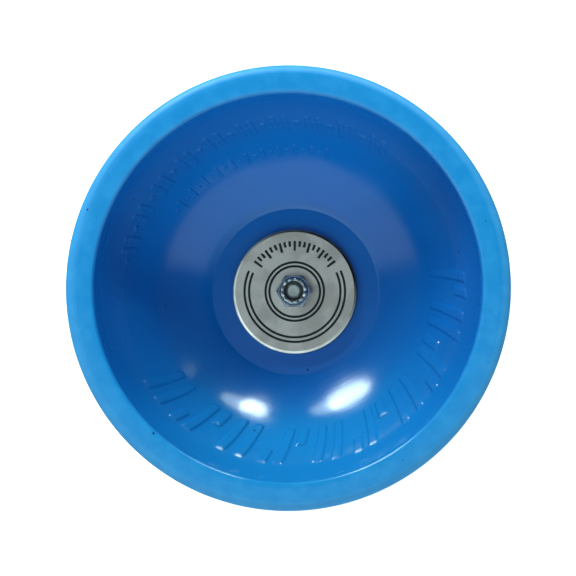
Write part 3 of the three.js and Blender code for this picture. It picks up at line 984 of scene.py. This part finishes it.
def make_lights():
    """Three windows low in the view's top half, from left to right, and the dimmer light that
    two of them spill to their right."""
    add_window("window_wide", -30.5, 23.5, (0.37, 0.28), 9.3)
    add_window("window_wide_spill", -19, 22.5, (0.26, 0.18), 0.9)
    add_window("window_mid", 14.5, 21.5, (0.22, 0.26), 5.2)
    add_window("window_mid_spill", 23.5, 21.5, (0.24, 0.17), 0.8)
    add_window("window_slim", 49, 18, (0.025, 0.22), 0.16)


def rises(elevation):
    """The world's z in a direction that is this many degrees above the horizon."""
    return math.sin(math.radians(elevation))


def cards_glow(room, x, y, z):
    """Two pale cards towards the bottom of the view, one near the horizon and one above it."""
    facing = room.ease(room.math("DIVIDE", y, room.hypotenuse(x, y)), -0.10, -0.30)
    low = room.ease(z, rises(13), rises(8))
    leaning = room.math("SUBTRACT", z, room.math("MULTIPLY", x, HIGH_CARD_LEAN))
    high = room.ease(leaning, rises(18.2), rises(20.4))
    both = room.math("ADD", room.scaled(low, 0, LOW_CARD_GLOW), room.scaled(high, 0, HIGH_CARD_GLOW))
    return room.math("MULTIPLY", facing, both)


def ceiling_glow(room, x, y, overhead):
    """A ceiling that is brighter to the left and to the bottom of the view, and straight overhead
    one half bright and the other dim."""
    across, down = [room.math("MULTIPLY", side, lean) for side, lean in zip((x, y), CEILING_LEAN)]
    leaning = room.math("ADD", room.math("ADD", across, down), CEILING_GLOW)
    halves = room.scaled(room.ease(y, 0.03, 0.0), DIM_OVERHEAD_GLOW, OVERHEAD_GLOW)
    return room.between(overhead, room.math("MAXIMUM", leaning, 0), halves)


def make_world():
    """White to the camera. To everything else a dim, slightly blue room with two pale cards, an
    uneven ceiling, and an even glow from below the horizon."""
    world = bpy.data.worlds.new("studio")
    bpy.context.scene.world = world
    world.use_nodes = True
    room = Nodes(world.node_tree, "Generated")
    x, y, z = room.axes()
    above = room.ease(z, rises(47.4), rises(49.2))
    overhead = room.ease(z, rises(74), rises(80))
    walls = room.math("ADD", cards_glow(room, x, y, z), ROOM_GLOW)
    glow = room.between(above, walls, ceiling_glow(room, x, y, overhead))
    glow = room.between(room.ease(z, 0.0, -0.05), glow, GROUND_GLOW)
    tinted = room.math("MULTIPLY", above, room.math("SUBTRACT", 1.0, overhead))
    seen = room.node("ShaderNodeLightPath").outputs["Is Camera Ray"]
    background = world.node_tree.nodes["Background"]
    room.feed(background.inputs["Color"], room.mix(seen, room.mix(tinted, ROOM_TINT, CEILING_TINT), WHITE))
    room.feed(background.inputs["Strength"], room.between(seen, glow, BACKDROP_GLOW))


def make_camera():
    """Looks into the upper cup, a few degrees off its axis, from arm's length."""
    data = bpy.data.cameras.new("camera")
    camera = bpy.data.objects.new("camera", data)
    bpy.context.scene.collection.objects.link(camera)
    aside = Vector((math.cos(CAMERA_HEADING), math.sin(CAMERA_HEADING), 0))
    away = aside * math.sin(CAMERA_TILT) + Vector((0, 0, math.cos(CAMERA_TILT)))
    camera.location = Vector((*CAMERA_AIM, MID + RIM_HEIGHT)) + away * CAMERA_DISTANCE
    forward = -away
    right = forward.cross(Vector((0, 1, 0))).normalized()
    up = right.cross(forward)
    camera.rotation_mode = "QUATERNION"
    camera.rotation_quaternion = Matrix((right, up, away)).transposed().to_quaternion()
    data.lens = CAMERA_LENS
    data.clip_start, data.clip_end = 0.01, 20
    bpy.context.scene.camera = camera


def main():
    plastic = cup_plastic()
    steel = satin_steel()
    zinc = zinc_plate()
    aluminium = turned_metal("turned_aluminium", (0.72, 0.73, 0.75, 1), 0.26)
    bearing = turned_metal("ground_steel", (0.56, 0.57, 0.59, 1), 0.18)
    polished = turned_metal("polished_steel", (0.74, 0.75, 0.77, 1), 0.06)
    rod_steel = turned_metal("rolled_steel", (0.62, 0.58, 0.53, 1), 0.38, stained=0.3)
    make_camera()
    make_cups(plastic)
    make_discs(steel, engraving_ink())
    make_nuts(zinc, dark_nylon())
    make_rod(rod_steel)
    make_roller(aluminium)
    make_cones(aluminium)
    make_bearings(bearing, polished, zinc)
    make_floor()
    make_lights()
    make_world()
    bpy.context.scene.view_settings.view_transform = "Standard"


main()
